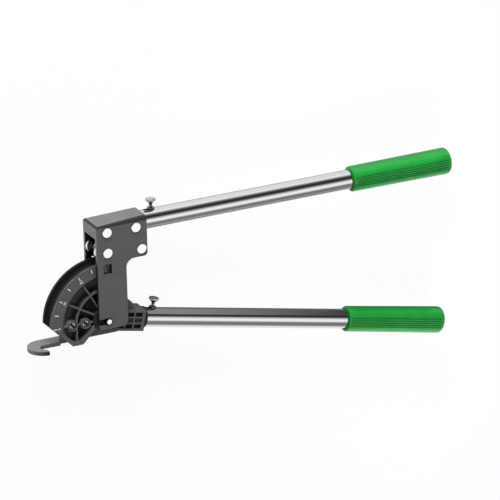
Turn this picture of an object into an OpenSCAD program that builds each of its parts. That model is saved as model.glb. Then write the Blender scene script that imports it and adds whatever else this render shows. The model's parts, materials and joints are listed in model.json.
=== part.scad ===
// Two-handled tube bender with a quarter-round former and a swinging lever frame.
// It lies on its far side: +Z is the pivot axis, +X runs along the handles, +Y points to the upper handle.
// The origin is the centre of the pivot pin's lower end face.

/* [Tube and former] */
// Outer diameter of the tube that is bent
tube_d = 16; // [12:0.5:18]
// Centre-line radius of the bend, which is also the former's rim radius
bend_r = 76; // [72:0.5:77]
// Thickness of the former along the pivot axis
former_t = 25; // [23:0.5:27]
// Radial width of the flat scale band
band_w = 16.5; // [14:0.5:19]
// Thickness of the former's web
web_t = 4.5; // [3:0.5:6]
// Height of the web's back face above the middle plane
web_back = -3.2; // [-4:0.1:-2]
// Thickness of the former's border walls
wall_t = 5; // [4:0.1:6]
// Thickness of the stiffening ribs
rib_t = 2.2; // [1.6:0.1:3]
// Depth of the rib tops below the former's face
rib_drop = 1.5; // [0.5:0.1:3]
// Mean radius of the arc-shaped rib
arc_rib_r = 40; // [36:0.5:44]
// Depth of the former below the pivot axis
former_drop = 26.4; // [25:0.1:28]
// Width of the former's flat lower edge
former_foot = 14; // [12:0.1:18]
// Distance from the pivot axis to the left end of the flat lower edge
former_foot_x = 46.8; // [45:0.1:48]
// Overrun of the former past the last scale mark
overrun = 7; // [5:0.5:8]
// Radial run of the sloping wall between the scale band and the web
rim_slope = 10; // [8:0.5:11]

/* [Former bolts] */
// Thread diameter of the former bolts
bolt_d = 5; // [4:0.5:5]
// Width across flats of the bolt heads and nuts
bolt_af = 8; // [7:0.5:8]
// Height of the bolt heads
bolt_head_h = 3.5; // [3:0.5:4]
// Height of the nuts
nut_h = 4; // [3:0.5:5]
// Outer diameter of the washers
washer_d = 9.4; // [9.2:0.1:10]
// Thickness of the washers
washer_t = 1; // [0.8:0.1:1.5]
// Outer diameter of the bolt bosses
boss_d = 13.6; // [13:0.1:15]
// Distance of the near bolt from the pivot axis
bolt_near = 28.2; // [27:0.1:29]
// Distance between the two bolts
bolt_pitch = 17.3; // [16.5:0.1:18]

/* [Base arm] */
// Diameter of the hub
hub_d = 24; // [22:0.5:26]
// Distance from the pivot axis to the arm's free end
arm_end = 54.5; // [53:0.5:56]
// Depth of the arm below the pivot axis
arm_drop = 25.2; // [24:0.1:26]
// Distance from the pivot axis to the arm's end under the socket
arm_tail = 21; // [19:0.5:24]
// Height of the arm above the pivot axis
arm_rise = 12; // [10:0.5:14]
// Wall of the handle socket block above and below its bore
socket_wall = 2.55; // [2.4:0.05:3.5]
// Distance from the pivot axis to the socket's mouth
socket_end = 51.5; // [50:0.5:53]
// Depth of the pockets between the socket's ribs
pocket_d = 4; // [2:0.5:4]
// Angle of the lower handle below the upper one
lower_angle = 11.7; // [10:0.1:14]

/* [Hook] */
// Thickness of the hook plate
hook_t = 5; // [4:0.5:6]
// Width of the hook's straight bar
bar_w = 19; // [17:0.5:20]
// Width of the hook's tip
tip_w = 7; // [6:0.5:9]
// Distance that the tip ends short of the centre of the hook's bend
tip_back = 2.2; // [1:0.1:4]
// Width of the hook round the closed end of its slot
crook_w = 14; // [12:0.5:16]
// Length of the tang behind the arm
tang_len = 24.5; // [23:0.5:26]
// Height of the lug that carries the tang
lug_h = 8; // [7:0.2:9]
// Distance from the arm's free end to the lug
lug_in = 7.5; // [6:0.5:8]
// Thread diameter of the hook screws
hook_screw_d = 4; // [3:0.5:5]

/* [Lever frame] */
// Clear width between the two side plates
plate_gap = 31; // [30:0.1:32]
// Thickness of the folded steel plate
plate_t = 4.5; // [4:0.1:5]
// Distance from the pivot axis to the frame's left edge
leg_left = 13.2; // [12.5:0.1:15]
// Distance from the pivot axis to the leg's right edge
leg_right = 25.8; // [24:0.1:28]
// Distance from the pivot axis to the ear's right edge
ear_right = 55; // [54:0.1:56.5]
// Height of the ear's lower edge above the former's rim
ear_over = 2; // [0:0.5:3]
// Gap between the roller's flanges and the upper handle
upper_gap = 0.3; // [0.2:0.1:2]
// Height of the frame's top above the upper handle, at the left
crown_left = 9; // [8.9:0.1:11]
// Height of the frame's top above the upper handle, at the right
crown_right = 12.5; // [12:0.1:15]
// Depth of the frame below the pivot axis
leg_drop = 9.5; // [9:0.5:12]
// Gap between the roller's flanges and the front wall's lower edge
front_gap = 5.2; // [4:0.1:7]
// Width of the sight window
window_w = 11; // [9:0.5:12]
// Height of the sight window
window_h = 13.6; // [12:0.1:15]
// Distance of the window's centre inside the former's rim
window_in = 7; // [5:0.5:10]

/* [Pins and roller] */
// Diameter of the pivot pin
pivot_d = 9; // [8:0.5:10]
// Height that the pivot pin stands out of each plate
pivot_proud = 0.8; // [0.5:0.1:1.5]
// Diameter of the cross pins
pin_d = 8; // [7:0.5:8]
// Diameter of the cross pins' heads
pin_head_d = 12.7; // [12:0.1:13.5]
// Thickness of the cross pins' heads
pin_head_t = 1.5; // [1:0.1:2]
// Distance between the two handle pins
handle_pin_pitch = 39; // [38:0.5:42]
// Distance of the left pins right of the pivot axis
left_pin_x = 1; // [0:0.5:3]
// Distance of the back pin right of the pivot axis
back_pin_x = 46.8; // [46:0.1:47.5]
// Gap between the roller's flanges and the former's rim
roller_gap = 0.8; // [0.5:0.1:2.5]
// Diameter of the roller at the bottom of its groove
waist_d = 13.6; // [13.2:0.1:14]
// Outer diameter of the roller's bush
bush_d = 10.4; // [10:0.1:10.8]

/* [Handles] */
// Outer diameter of the handle tubes
handle_d = 25; // [24.5:0.1:25.5]
// Wall of the handle tubes
handle_wall = 1.5; // [1.2:0.1:2]
// Distance from the pivot axis to the upper handle tube's inner end
handle_start = 59.5; // [58.5:0.5:62]
// Distance that the lower handle sits nearer to the pivot axis
lower_in = 3.6; // [2:0.1:4.5]
// Length of the handle tubes
handle_len = 418.5; // [380:0.5:450]
// Length of the grips
grip_len = 140; // [120:1:150]
// Wall of the grips at their inner ends
grip_wall = 3.75; // [3:0.05:4.5]
// Growth of the grips' diameter towards their outer ends
grip_flare = 1.5; // [0:0.1:2.5]
// Thickness of the grips' closed ends
grip_cap = 5; // [3:0.5:8]
// Length of the spigots inside the tubes
spigot_in = 46; // [40:1:60]
// Height that the lower collar stands above the tube
collar_lip = 1; // [0.5:0.1:1.5]
// Length of the tube plugs
plug_len = 10; // [6:1:20]

/* [Thumb screws] */
// Distance from the tube's inner end to the thumb screw
screw_in = 10.6; // [10:0.1:14]
// Thread diameter of the thumb screws
screw_d = 5; // [4:0.5:5.5]
// Width of the slot in the tube
slot_w = 7; // [6.5:0.1:7.5]
// Diameter of the thumb screw's head
screw_head_d = 13; // [11:0.5:14]
// Height of the thumb screw's top above the tube
screw_rise = 13.5; // [12:0.5:16]

/* [Hidden] */
$fn = 64;

run_fit = 0.05;
clear = 0.3;
side_clear = 0.5;
hole_clear = 0.2;
past = 1;
thin = 0.01;

frame_half = plate_gap / 2 + plate_t;
mid_z = frame_half + pivot_proud;
half_t = former_t / 2;
web_front = web_back + web_t;
groove_r = tube_d / 2;
rim_in = bend_r - band_w;
rib_inset = 0.5;
base_half = plate_gap / 2 - side_clear;
hub_r = hub_d / 2;

bolt_xs = [-bolt_near, -bolt_near - bolt_pitch];
sink_d = washer_d + 2 * clear;
sink_floor = half_t - bolt_head_h - washer_t - rib_drop;
head_z = sink_floor + washer_t;
arm_back = -half_t - clear;
nut_sink = nut_h + clear;

foot_right = former_foot_x - former_foot;
cut_top = [-bend_r - past, bend_r + past - former_foot_x - former_drop];

slot_half = tube_d / 2;
crook_out = 1;
crook_x = -bend_r - crook_out;
hook_step = 0.6;
hook_top = arm_drop + hook_step;
bar_back = slot_half + bar_w;
tang_front = -arm_back + clear;
tang_right = -arm_end + tang_len;
lug_back = bar_back;
screw_z = (tang_front + bar_back) / 2;
hook_screw_edge = 4.5;
hook_screw_xs = [-arm_end + lug_in + hook_screw_edge, tang_right - hook_screw_edge];
hook_head_ratio = 1.8;
hook_head_r = hook_screw_d / 2 * hook_head_ratio;
hook_hole_floor = 2;
hook_head_h = hook_t / 2;

roller_y = bend_r + groove_r + waist_d / 2;
roller_r = roller_y - bend_r - roller_gap;
roller_top = roller_y + roller_r;
upper_y = roller_top + upper_gap + handle_d / 2;
front_low = roller_top + front_gap;
ear_low = bend_r + ear_over;
back_pin_y = bend_r + groove_r + pin_d / 2 + hole_clear;
top_left = upper_y + crown_left;
top_right = upper_y + crown_right;
fold_left = 3;
fold_in = 1;
fold_right = 8;
ear_corner = 5;
ear_fillet = 11;
leg_corner = 9;
lip_cut = 2.2;
window_x = 0.5;
window_y = bend_r - window_in;

handle_in_r = handle_d / 2 - handle_wall;
spigot_r = handle_in_r - run_fit;
socket_h = 2 * (spigot_r + socket_wall);
socket_edge = 2;
collar_r = handle_d / 2 + collar_lip;
grip_r = handle_d / 2 + grip_wall;
screw_x = handle_start + screw_in;
handle_end = handle_start + handle_len;
grip_start = handle_end + grip_cap - grip_len;
grip_end = handle_end + grip_cap;
lead_share = 0.8;
grip_lead = lead_share * grip_wall;
socket_bore_start = 30;
gusset_run = 11;
gusset_top = 26;
gusset_root = 5;
tube_top = handle_d / 2;
screw_flange_r = 4.9;
screw_flange_t = 1.5;
screw_rim = 2.5;
screw_waist = 0.8;

cast_colour = [0.16, 0.16, 0.17];
paint_colour = [0.27, 0.27, 0.28];
steel_colour = [0.82, 0.82, 0.84];
hook_colour = [0.35, 0.35, 0.36];
grip_colour = [0.1, 0.55, 0.2];
black_colour = [0.06, 0.06, 0.07];

// Frames that the pieces are drawn in
module at_pivot() {
    translate([0, 0, mid_z]) children();
}
module on_lower_axis() {
    at_pivot() rotate([0, 0, -lower_angle]) translate([-lower_in, 0, 0]) children();
}
module on_upper_axis() {
    at_pivot() translate([0, upper_y, 0]) children();
}

// Shapes that repeat
module disc(r, z0, z1) {
    translate([0, 0, z0]) cylinder(r = r, h = z1 - z0);
}
module rod_x(r, x0, x1) {
    translate([x0, 0, 0]) rotate([0, 90, 0]) cylinder(r = r, h = x1 - x0);
}
module slab(x0, x1, y0, y1, z0, z1) {
    translate([x0, y0, z0]) cube([x1 - x0, y1 - y0, z1 - z0]);
}
module strip(a, b, w, z0, z1) {
    d = b - a;
    translate([a[0], a[1], z0])
        rotate([0, 0, atan2(d[1], d[0])])
            translate([0, -w / 2, 0]) cube([norm(d), w, z1 - z0]);
}
module hex_prism(af, z0, z1) {
    translate([0, 0, z0]) cylinder(d = af / cos(30), h = z1 - z0, $fn = 6);
}
module cross_pin(x, y) {
    translate([x, y, 0]) {
        disc(pin_d / 2, -frame_half, frame_half);
        disc(pin_head_d / 2, frame_half, frame_half + pin_head_t);
        disc(pin_head_d / 2, -frame_half - pin_head_t, -frame_half);
    }
}
module pin_hole(x, y, r) {
    translate([x, y, 0]) disc(r, -frame_half - past, frame_half + past);
}

// Former: disc sector with the tube groove, pockets on both faces, ribs and bolt bosses
module former_outline(inset) {
    slant = inset * sqrt(2);
    lean = overrun / 2;
    difference() {
        polygon([cut_top + [slant, 0],
                 [-former_foot_x + slant - inset, -former_drop + inset],
                 [-foot_right - slant + inset, -former_drop + inset],
                 [-foot_right + former_drop - slant, 0],
                 [lean - inset, 0], [overrun - inset, bend_r + past],
                 [-bend_r - past, bend_r + past]]);
        circle(r = hub_r + clear + inset);
    }
}
module former_sector() {
    intersection() {
        rotate_extrude($fn = 180) difference() {
            translate([0, -half_t]) square([bend_r, former_t]);
            translate([bend_r, 0]) circle(r = groove_r);
        }
        translate([0, 0, -half_t - past]) linear_extrude(former_t + 2 * past) former_outline(0);
    }
}
module front_pocket() {
    intersection() {
        rotate_extrude($fn = 180)
            polygon([[0, web_front], [rim_in - rim_slope, web_front], [rim_in, half_t],
                     [rim_in, half_t + past], [0, half_t + past]]);
        translate([0, 0, web_front - past]) linear_extrude(former_t) former_outline(wall_t);
    }
}
module back_pocket() {
    intersection() {
        disc(rim_in, -half_t - past, web_back);
        translate([0, 0, -former_t]) linear_extrude(former_t) former_outline(wall_t);
    }
}
module former_ribs() {
    top = half_t - rib_drop;
    low = web_front - past / 2;
    reach = rim_in - rib_inset;
    intersection() {
        union() {
            for (mark = [0 : 30 : 60])
                strip([-hub_r * cos(mark), hub_r * sin(mark)],
                      [-reach * cos(mark), reach * sin(mark)], rib_t, low, top);
            difference() {
                disc(arc_rib_r + rib_t / 2, low, top);
                disc(arc_rib_r - rib_t / 2, low - past, top + past);
                slab(-bend_r, bend_r, -bend_r, 0, low - past, top + past);
            }
            strip([-arc_rib_r, 0], [-arc_rib_r, -former_drop + wall_t], rib_t, low, top);
        }
        translate([0, 0, web_front - past]) linear_extrude(half_t) former_outline(wall_t / 2);
    }
}
module former() {
    color(cast_colour) at_pivot() difference() {
        union() {
            difference() {
                former_sector();
                front_pocket();
                back_pocket();
            }
            former_ribs();
            for (x = bolt_xs)
                translate([x, 0, 0]) disc(boss_d / 2, web_front - past, half_t);
        }
        slab(-arm_end - clear, -hub_r / 2 + clear, -former_drop - past, arm_rise + clear,
             -half_t - past, web_back);
        for (x = bolt_xs)
            translate([x, 0, 0]) {
                disc(bolt_d / 2 + hole_clear, web_back - past, half_t);
                disc(sink_d / 2, sink_floor, half_t + past);
            }
    }
}

// Bolts that hold the former on the arm
module former_bolts() {
    color(steel_colour) at_pivot()
        for (x = bolt_xs)
            translate([x, 0, 0]) {
                disc(bolt_d / 2, arm_back + clear, head_z);
                hex_prism(bolt_af, head_z, head_z + bolt_head_h);
            }
}
module former_washers() {
    color(steel_colour) at_pivot()
        for (x = bolt_xs)
            translate([x, 0, 0]) difference() {
                disc(washer_d / 2, sink_floor, head_z);
                disc(bolt_d / 2 + hole_clear, sink_floor - past, head_z + past);
            }
}
module former_nuts() {
    color(steel_colour) at_pivot()
        for (x = bolt_xs)
            translate([x, 0, 0]) difference() {
                hex_prism(bolt_af, arm_back + clear, arm_back + nut_sink);
                disc(bolt_d / 2, arm_back - past, arm_back + nut_sink + past);
            }
}

// Casting: hub, arm behind the former, hook lug and ribbed handle socket
module socket_pockets() {
    col = 9.5;
    mouth_wall = 4.4;
    side_wall = 3.3;
    rows = 3;
    row = (socket_h - 2 * side_wall - (rows - 1) * rib_t) / rows;
    for (side = [-1, 1])
        for (c = [0 : 2])
            for (r = [-1 : 1]) {
                depth = r == 0 ? pocket_d / 2 : pocket_d;
                x1 = socket_end - mouth_wall - c * (col + rib_t);
                y0 = r * (row + rib_t) - row / 2;
                z0 = side > 0 ? base_half - depth : -base_half - past;
                slab(x1 - col, x1, y0, y0 + row, z0, z0 + depth + past);
            }
}
module socket_block() {
    half_h = socket_h / 2;
    low = half_h - socket_edge;
    near = base_half - socket_edge;
    rotate([0, 0, -lower_angle]) difference() {
        translate([hub_r, 0, 0]) rotate([90, 0, 90]) linear_extrude(socket_end - hub_r)
            polygon([[-half_h, -base_half], [low, -base_half], [half_h, -near],
                     [half_h, near], [low, base_half], [-half_h, base_half]]);
        socket_pockets();
    }
}
module gusset() {
    thick = base_half / 2;
    left = overrun + 2 * past;
    shoulder = leg_right + gusset_run;
    right = socket_end - gusset_run;
    translate([0, 0, -thick]) linear_extrude(2 * thick)
        polygon([[left, 0], [left, 2 * hub_r], [leg_right, gusset_top], [shoulder, gusset_top - gusset_run],
                 [right, hub_r - gusset_root], [right, -gusset_root]]);
}
module base_arm() {
    color(cast_colour) at_pivot() difference() {
        union() {
            disc(hub_r, -base_half, base_half);
            slab(-arm_end, -hub_r / 2, -arm_drop, arm_rise, arm_back, web_back);
            slab(-arm_end + lug_in, tang_right, -hook_top, -hook_top + lug_h, -lug_back, arm_back + past);
            slab(-hub_r, arm_tail, -arm_drop, 0, arm_back, web_back);
            gusset();
            socket_block();
        }
        rotate([0, 0, -lower_angle]) rod_x(spigot_r, socket_bore_start, socket_end + past);
        disc(pivot_d / 2, -base_half - past, base_half + past);
        for (x = bolt_xs)
            translate([x, 0, 0]) {
                disc(bolt_d / 2 + hole_clear, arm_back - past, web_back + past);
                disc(bolt_af / 2 / cos(30) + clear, arm_back - past, arm_back + nut_sink);
            }
        for (x = hook_screw_xs)
            translate([x, -hook_top - past, -screw_z]) rotate([-90, 0, 0])
                cylinder(d = hook_screw_d, h = lug_h - hook_hole_floor + past);
    }
}
module pivot_pin() {
    color(steel_colour) disc(pivot_d / 2, 0, 2 * mid_z);
}

// Hook plate with its screws
module hook_outline() {
    crook_len = slot_half + crook_w;
    tip_front = slot_half + tip_w;
    half = (bar_back + tip_front) / 2;
    difference() {
        union() {
            translate([crook_x, -bar_back]) square([-arm_end - clear - crook_x, bar_w]);
            translate([-arm_end - past, -bar_back])
                square([tang_len + past, bar_back - tang_front]);
            intersection() {
                translate([crook_x, tip_front - half]) scale([crook_len / half, 1]) circle(r = half);
                translate([crook_x - 2 * crook_len, -2 * bar_back])
                    square([2 * crook_len, 4 * bar_back]);
            }
        }
        translate([crook_x, 0]) circle(r = slot_half);
        translate([crook_x, -slot_half]) square([bend_r, 2 * slot_half]);
        translate([crook_x - tip_back, slot_half - past]) square([bend_r, tip_front]);
    }
}
module tube_hook() {
    color(hook_colour) at_pivot() difference() {
        translate([0, -hook_top, 0]) rotate([90, 0, 0])
            linear_extrude(hook_t) hook_outline();
        for (x = hook_screw_xs)
            translate([x, -hook_top - hook_t - past, -screw_z]) rotate([-90, 0, 0]) {
                cylinder(r = hook_screw_d / 2 + hole_clear, h = hook_t + 2 * past);
                cylinder(r = hook_head_r + hole_clear, h = hook_head_h + past);
            }
    }
}
module hook_screws() {
    color(steel_colour) at_pivot()
        for (x = hook_screw_xs)
            translate([x, -hook_top - hook_t, -screw_z]) rotate([-90, 0, 0]) {
                cylinder(r = hook_head_r, h = hook_head_h);
                cylinder(d = hook_screw_d, h = hook_t + lug_h - hook_hole_floor - past);
            }
}

// Lever frame: one plate folded over the top, open at the front and the right
module plate_outline() {
    top = top_right + past;
    difference() {
        union() {
            translate([-leg_left, -leg_drop]) square([leg_left + leg_right, top + leg_drop]);
            translate([leg_right - past, ear_low])
                square([ear_right - leg_right + past, top - ear_low]);
            translate([leg_right - past, ear_low - ear_fillet])
                square([ear_fillet + past, ear_fillet + past]);
        }
        translate([leg_right + ear_fillet, ear_low - ear_fillet]) circle(r = ear_fillet);
        translate([ear_right - ear_corner, ear_low]) difference() {
            translate([0, -past]) square([ear_corner + past, ear_corner + past]);
            translate([0, ear_corner]) circle(r = ear_corner);
        }
        polygon([[-leg_left, top_left - lip_cut], [-leg_left + 2 * lip_cut, top_left + lip_cut],
                 [-leg_left - past, top_left + lip_cut], [-leg_left - past, top_left - lip_cut]]);
        translate([leg_right - leg_corner, -leg_drop]) difference() {
            translate([0, -past]) square([leg_corner + past, leg_corner + past]);
            translate([0, leg_corner]) circle(r = leg_corner);
        }
    }
}
module channel_section(half, top, fold, low) {
    for (side = [-1, 1])
        translate([0, top - fold, side * (half - fold)])
            rotate([0, 90, 0]) cylinder(r = fold, h = thin, $fn = 32);
    translate([0, low, -half]) cube([thin, thin, 2 * half]);
}
module channel(half, left, right, drop, grow) {
    hull() {
        translate([left, 0, 0]) channel_section(half, top_left - drop, fold_left - grow, -2 * leg_drop);
        translate([right, 0, 0]) channel_section(half, top_right - drop, fold_right - drop, -2 * leg_drop);
    }
}
module lever_frame() {
    reach = frame_half + past;
    color(paint_colour) at_pivot() difference() {
        intersection() {
            channel(frame_half, -leg_left, ear_right, 0, 0);
            translate([0, 0, -reach]) linear_extrude(2 * reach) plate_outline();
        }
        channel(plate_gap / 2, -leg_left + plate_t, ear_right + past, plate_t, fold_left - fold_in);
        slab(-leg_left - past, 0, -2 * leg_drop, front_low, -plate_gap / 2, plate_gap / 2);
        pin_hole(0, 0, pivot_d / 2 + run_fit);
        slab(-leg_left - past, 0, -pivot_d / 2 - run_fit, pivot_d / 2 + run_fit, -reach, reach);
        slab(window_x - window_w / 2, window_x + window_w / 2, window_y - window_h / 2,
             window_y + window_h / 2, -reach, reach);
        for (i = [0, 1])
            pin_hole(left_pin_x + i * handle_pin_pitch, upper_y, pin_d / 2);
        pin_hole(left_pin_x, roller_y, pin_d / 2);
        pin_hole(back_pin_x, back_pin_y, pin_d / 2);
    }
}
module handle_pins() {
    color(steel_colour) at_pivot()
        for (i = [0, 1])
            cross_pin(left_pin_x + i * handle_pin_pitch, upper_y);
}
module roller_pin() {
    color(steel_colour) at_pivot() cross_pin(left_pin_x, roller_y);
}
module back_pin() {
    color(steel_colour) at_pivot() cross_pin(back_pin_x, back_pin_y);
}

// Grooved roller on its bush
module front_roller() {
    color(steel_colour) at_pivot() translate([left_pin_x, roller_y, 0])
        rotate_extrude($fn = 96) difference() {
            translate([bush_d / 2, -base_half]) square([roller_r - bush_d / 2, 2 * base_half]);
            translate([waist_d / 2 + groove_r, 0]) circle(r = groove_r);
        }
}
module roller_bush() {
    color(steel_colour) at_pivot() translate([left_pin_x, roller_y, 0]) difference() {
        disc(bush_d / 2, -base_half, base_half);
        disc(pin_d / 2 + run_fit, -base_half - past, base_half + past);
    }
}

// Handle pieces, drawn along +X from the pivot with the thumb screw on the +Y side
module spigot(start) {
    difference() {
        rod_x(spigot_r, start, handle_start + spigot_in);
        translate([screw_x, 0, 0]) rotate([-90, 0, 0])
            cylinder(r = screw_d / 2 + run_fit, h = handle_d);
    }
}
module collar(start, r) {
    difference() {
        rod_x(r, start, handle_start);
        rod_x(spigot_r, start - past, handle_start + past);
    }
}
module handle_tube() {
    difference() {
        rod_x(handle_d / 2, handle_start, handle_end);
        rod_x(handle_in_r, handle_start - past, handle_end + past);
        translate([screw_x, 0, 0]) rotate([-90, 0, 0]) cylinder(d = slot_w, h = handle_d);
        slab(handle_start - past, screw_x, 0, handle_d, -slot_w / 2, slot_w / 2);
    }
}
module handle_grip() {
    r0 = grip_r;
    r1 = r0 + grip_flare / 2;
    bore_r = handle_d / 2;
    rotate([0, 90, 0]) rotate_extrude($fn = 96)
        polygon(concat([[bore_r, grip_start], [r0 - grip_lead, grip_start], [r0, grip_start + grip_lead]],
                       [for (a = [0 : 15 : 90]) [r1 - grip_cap + grip_cap * cos(a),
                                                 grip_end - grip_cap + grip_cap * sin(a)]],
                       [[0, grip_end], [0, handle_end], [bore_r, handle_end]]));
}
module handle_plug() {
    rod_x(handle_in_r, handle_end - plug_len, handle_end);
}
module thumb_screw() {
    foot = tube_top + clear;
    top = tube_top + screw_rise;
    neck = screw_d / 2 * screw_waist;
    flare = (screw_head_d - screw_d) / 2;
    rim = top - screw_rim;
    translate([screw_x, 0, 0]) rotate([-90, 0, 0]) {
        cylinder(d = screw_d, h = foot + past, $fn = 48);
        disc(screw_flange_r, foot, foot + screw_flange_t);
        rotate_extrude() polygon([[0, foot], [neck, foot], [neck, rim - flare],
                                  [screw_head_d / 2, rim], [screw_head_d / 2, top], [0, top]]);
    }
}
module lower_spigot() {
    color(steel_colour) on_lower_axis() spigot(socket_bore_start + lower_in);
}
module upper_spigot() {
    color(steel_colour) on_upper_axis() difference() {
        spigot(-leg_left + plate_t + clear);
        translate([0, 0, -handle_d]) linear_extrude(2 * handle_d)
            polygon([[-leg_left + plate_t, crown_left - plate_t - clear],
                     [ear_right + clear, crown_right - plate_t - clear],
                     [ear_right + clear, handle_d], [-leg_left + plate_t, handle_d]]);
        for (i = [0, 1])
            pin_hole(left_pin_x + i * handle_pin_pitch, 0, pin_d / 2);
    }
}
module lower_collar() {
    color(black_colour) on_lower_axis() collar(socket_end + lower_in, collar_r);
}
module upper_collar() {
    color(steel_colour) on_upper_axis() collar(ear_right + clear, handle_d / 2);
}
module lower_tube() {
    color(steel_colour) on_lower_axis() handle_tube();
}
module upper_tube() {
    color(steel_colour) on_upper_axis() handle_tube();
}
module lower_grip() {
    color(grip_colour) on_lower_axis() handle_grip();
}
module upper_grip() {
    color(grip_colour) on_upper_axis() handle_grip();
}
module lower_plug() {
    color(black_colour) on_lower_axis() handle_plug();
}
module upper_plug() {
    color(black_colour) on_upper_axis() handle_plug();
}
module lower_screw() {
    color(steel_colour) on_lower_axis() thumb_screw();
}
module upper_screw() {
    color(steel_colour) on_upper_axis() thumb_screw();
}

base_arm();
former();
former_bolts();
former_washers();
former_nuts();
pivot_pin();
tube_hook();
hook_screws();
lower_spigot();
lower_collar();
lever_frame();
handle_pins();
roller_pin();
back_pin();
upper_spigot();
upper_collar();
front_roller();
roller_bush();
lower_tube();
lower_grip();
lower_plug();
lower_screw();
upper_tube();
upper_grip();
upper_plug();
upper_screw();
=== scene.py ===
# %% [markdown]
# # A two-handled tube bender
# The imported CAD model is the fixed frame: its pieces already have the true sizes and places, in metres.
# This lesson dresses it. Some solids only get a finish, and others are replaced by a finer mesh in the same
# spot. The box of the plain model is kept first, so that the dressed one can be compared with it at the end.

# %% Load the frame
import json
import math
from functools import partial
from types import SimpleNamespace

import bmesh
import bpy
from mathutils import Matrix, Vector

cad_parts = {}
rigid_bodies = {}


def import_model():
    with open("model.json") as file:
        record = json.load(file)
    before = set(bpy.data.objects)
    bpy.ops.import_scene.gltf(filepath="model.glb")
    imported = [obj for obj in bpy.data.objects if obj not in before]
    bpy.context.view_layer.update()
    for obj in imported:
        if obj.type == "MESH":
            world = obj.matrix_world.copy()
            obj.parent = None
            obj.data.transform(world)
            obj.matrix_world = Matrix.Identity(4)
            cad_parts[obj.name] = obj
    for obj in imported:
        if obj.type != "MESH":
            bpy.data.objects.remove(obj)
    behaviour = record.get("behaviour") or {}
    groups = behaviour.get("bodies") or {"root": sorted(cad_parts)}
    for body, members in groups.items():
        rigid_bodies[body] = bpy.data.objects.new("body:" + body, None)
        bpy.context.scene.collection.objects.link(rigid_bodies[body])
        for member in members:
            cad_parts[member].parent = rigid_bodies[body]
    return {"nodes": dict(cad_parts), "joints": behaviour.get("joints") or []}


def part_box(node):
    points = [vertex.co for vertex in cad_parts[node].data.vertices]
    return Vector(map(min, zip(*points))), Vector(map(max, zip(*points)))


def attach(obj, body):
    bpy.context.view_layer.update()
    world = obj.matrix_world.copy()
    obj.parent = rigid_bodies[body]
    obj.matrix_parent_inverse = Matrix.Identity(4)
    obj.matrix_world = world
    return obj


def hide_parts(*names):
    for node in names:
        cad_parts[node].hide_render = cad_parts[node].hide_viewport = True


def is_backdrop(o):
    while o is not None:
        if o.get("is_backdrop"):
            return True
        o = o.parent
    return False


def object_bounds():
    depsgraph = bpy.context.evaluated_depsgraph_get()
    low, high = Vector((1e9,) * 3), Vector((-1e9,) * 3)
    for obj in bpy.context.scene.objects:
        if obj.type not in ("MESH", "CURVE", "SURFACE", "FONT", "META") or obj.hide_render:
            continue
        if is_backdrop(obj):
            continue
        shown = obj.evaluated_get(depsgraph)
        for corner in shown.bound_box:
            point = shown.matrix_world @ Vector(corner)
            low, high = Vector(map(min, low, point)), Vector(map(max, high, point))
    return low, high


for leftover in list(bpy.data.objects):
    bpy.data.objects.remove(leftover)
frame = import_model()
cad_low, cad_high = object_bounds()
nodes = frame["nodes"]
joints = {j["name"]: j for j in frame["joints"]}
MM = 0.001
print("nodes", len(nodes), "box mm", [round((b - a) / MM, 1) for a, b in zip(cad_low, cad_high)])

# %% [markdown]
# ## Where things are
# Every later step needs a few places: the height of the middle plane, the pivot, and the two handle axes.
# They could be typed in, but they are read from the frame, so that the dressing follows the model.
# A handle's own frame has its X axis along the tube and its Y axis towards the thumb screw.

# %% Read the places from the frame
pin_low, pin_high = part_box("pivot_pin")
mid_z = (pin_low.z + pin_high.z) / 2
pivot = Vector((0, 0, mid_z))
upper_low, upper_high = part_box("upper_tube")
upper_y = (upper_low.y + upper_high.y) / 2
tube_start, tube_end = upper_low.x, upper_high.x
tube_r = (upper_high.y - upper_low.y) / 2
lower_pull = Vector(joints["lower_handle_pull"]["axis"])
lower_turn = math.atan2(lower_pull.y, lower_pull.x)
lower_start = min((v.co - pivot).dot(lower_pull) for v in nodes["lower_tube"].data.vertices)
lower_shift = Matrix.Translation(pivot + (lower_start - tube_start) * lower_pull)
HANDLES = {
    "upper": Matrix.Translation((0, upper_y, mid_z)),
    "lower": lower_shift @ Matrix.Rotation(lower_turn, 4, "Z"),
}
plate_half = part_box("lever_frame")[1].z - mid_z
former_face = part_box("former")[1].z
print("mid plane", round(mid_z / MM, 2), "upper axis y", round(upper_y / MM, 2))
print("lower handle turned by", round(math.degrees(lower_turn), 2), "degrees")

# %% [markdown]
# ## Material helpers
# A finish is a small tree of nodes. Each one reads Object coordinates, so the grain stays put on the piece.
# Helpers do the repeated work: a noise to vary things, a ramp that turns it into colour, and a bump.
# The bump can also round off the light on sharp edges, as a thick coat of paint does.

# %% Helpers for the finishes
TINT_STEPS, BEVEL_SAMPLES, GRAIN_STRENGTH = (0.35, 0.65), 6, 0.2


def add_node(tree, kind, wires, **settings):
    node = tree.nodes.new(kind)
    for key, value in settings.items():
        setattr(node, key, value)
    for socket, source in wires.items():
        target = node.inputs[socket]
        if isinstance(source, bpy.types.NodeSocket):
            tree.links.new(source, target)
        else:
            target.default_value = source
    return node


def calc(tree, operation, *terms):
    return add_node(tree, "ShaderNodeMath", dict(enumerate(terms)), operation=operation).outputs[0]


def start_finish(name, metallic=0.0, specular=0.5):
    mat = bpy.data.materials.new(name)
    mat.use_nodes = True
    shader = mat.node_tree.nodes["Principled BSDF"]
    shader.inputs["Metallic"].default_value = metallic
    shader.inputs["Specular IOR Level"].default_value = specular
    return mat, mat.node_tree, shader


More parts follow.
